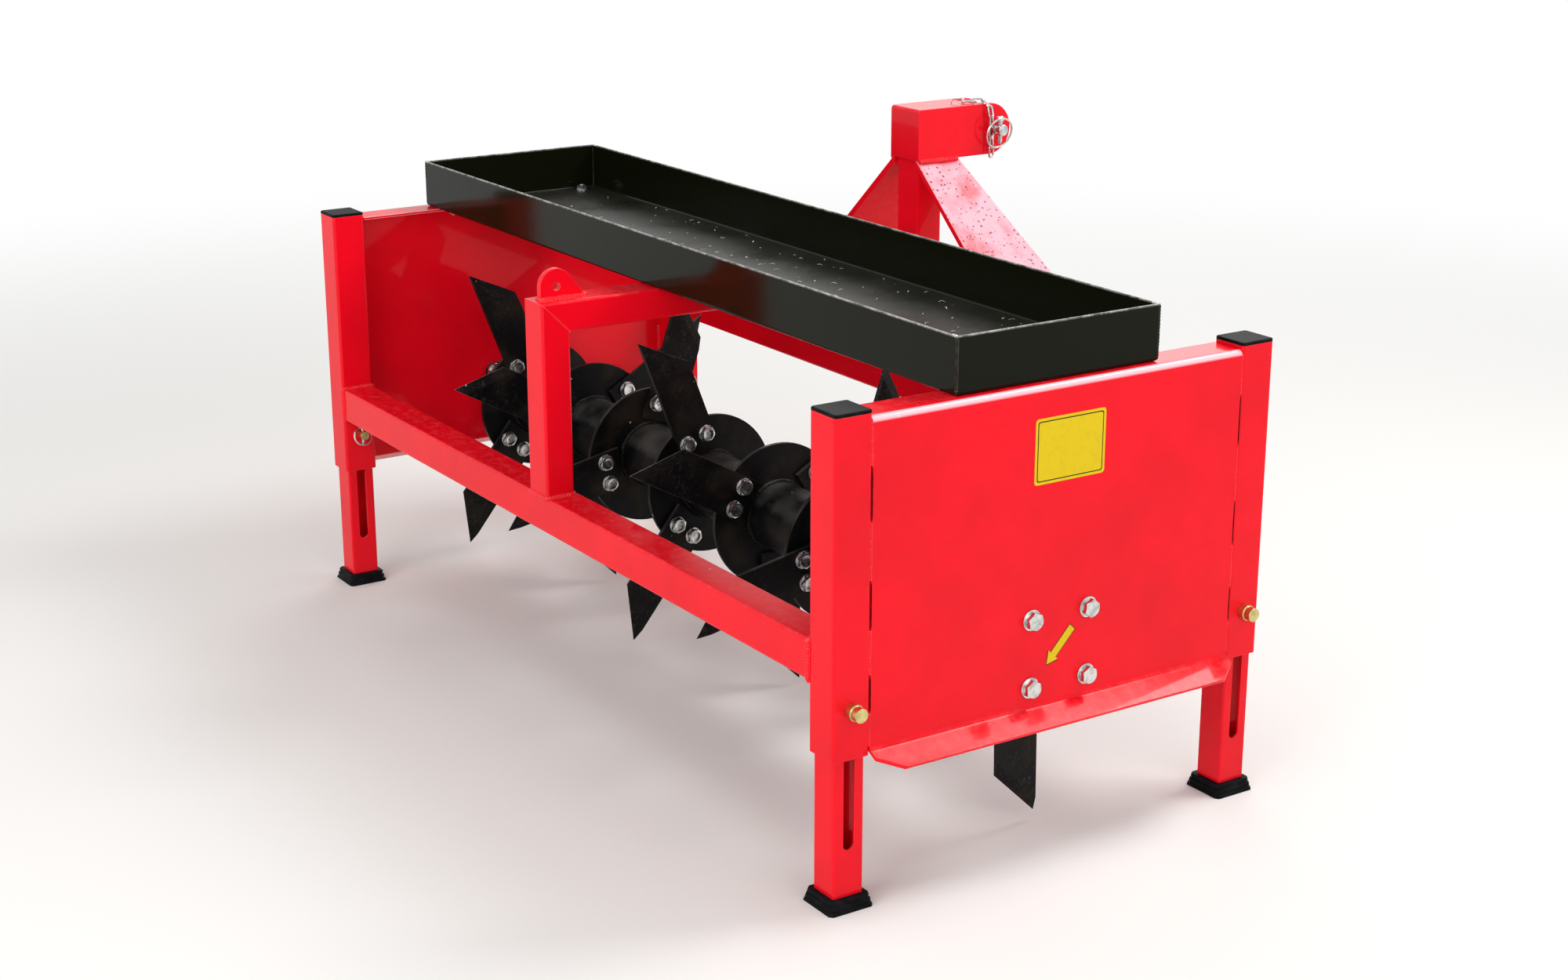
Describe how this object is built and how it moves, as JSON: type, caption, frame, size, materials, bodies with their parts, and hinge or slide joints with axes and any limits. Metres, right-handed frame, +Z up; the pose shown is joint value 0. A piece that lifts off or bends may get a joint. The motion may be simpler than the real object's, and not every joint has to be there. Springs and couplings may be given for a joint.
{
  "type": "tractor mounted lawn aerator",
  "caption": "Three-point mounted lawn aerator: red box frame on adjustable legs, open ballast tray on top, free-turning rotor with bolted knife blades between two side plates.",
  "frame": {"origin": "on the ground, under the centre of the whole machine's box", "axes": "+X to the machine's right-hand side seen from behind, +Y forward towards the tractor, +Z up"},
  "size_m": [1.756, 0.915, 0.9483],
  "materials": {
    "red_paint": "gloss",
    "black_gloss": "gloss",
    "black_rotor": "satin",
    "cast_housing": "satin",
    "zinc_bolt": "satin",
    "yellow_zinc": "satin",
    "black_cap": "matte"
  },
  "bodies": {
    "frame": {"post_rear_left": "red_paint", "post_rear_right": "red_paint", "post_front_left": "red_paint", "post_front_right": "red_paint", "post_caps": "black_cap", "rear_beam": "red_paint", "front_beam": "red_paint", "rear_upright": "red_paint", "top_spine": "red_paint", "lifting_eye": "red_paint", "mast_tube": "red_paint", "mast_head": "red_paint", "brace_left": "red_paint", "brace_right": "red_paint", "side_plate_left": "red_paint", "side_plate_right": "red_paint", "hitch_lugs_left": "red_paint", "hitch_lugs_right": "red_paint", "hitch_pin_left": "yellow_zinc", "hitch_pin_right": "yellow_zinc", "leg_pins": "yellow_zinc", "top_link_pin": "yellow_zinc", "ballast_tray": "black_gloss", "bearing_left": "cast_housing", "bearing_right": "cast_housing", "bearing_bolts": "zinc_bolt"},
    "rotor": {"rotor_tube": "black_rotor", "rotor_journals": "black_rotor", "rotor_discs": "black_rotor", "blades_left": "black_rotor", "blades_right": "black_rotor", "blade_bolts": "zinc_bolt"},
    "leg_rear_left": {"leg_rear_left": "red_paint", "foot_rear_left": "black_cap"},
    "leg_rear_right": {"leg_rear_right": "red_paint", "foot_rear_right": "black_cap"},
    "leg_front_left": {"leg_front_left": "red_paint", "foot_front_left": "black_cap"},
    "leg_front_right": {"leg_front_right": "red_paint", "foot_front_right": "black_cap"}
  },
  "joints": [
    {"name": "rotor_spin", "type": "hinge", "parent": "frame", "child": "rotor", "pos_m": [0, -0.0645, 0.31427], "axis": [1, 0, 0], "continuous": true},
    {"name": "leg_slide_rear_left", "type": "slide", "parent": "frame", "child": "leg_rear_left", "axis": [0, 0, 1], "range_m": [0, 0.199]},
    {"name": "leg_slide_rear_right", "type": "slide", "parent": "frame", "child": "leg_rear_right", "axis": [0, 0, 1], "range_m": [0, 0.199]},
    {"name": "leg_slide_front_left", "type": "slide", "parent": "frame", "child": "leg_front_left", "axis": [0, 0, 1], "range_m": [0, 0.199]},
    {"name": "leg_slide_front_right", "type": "slide", "parent": "frame", "child": "leg_front_right", "axis": [0, 0, 1], "range_m": [0, 0.199]}
  ]
}
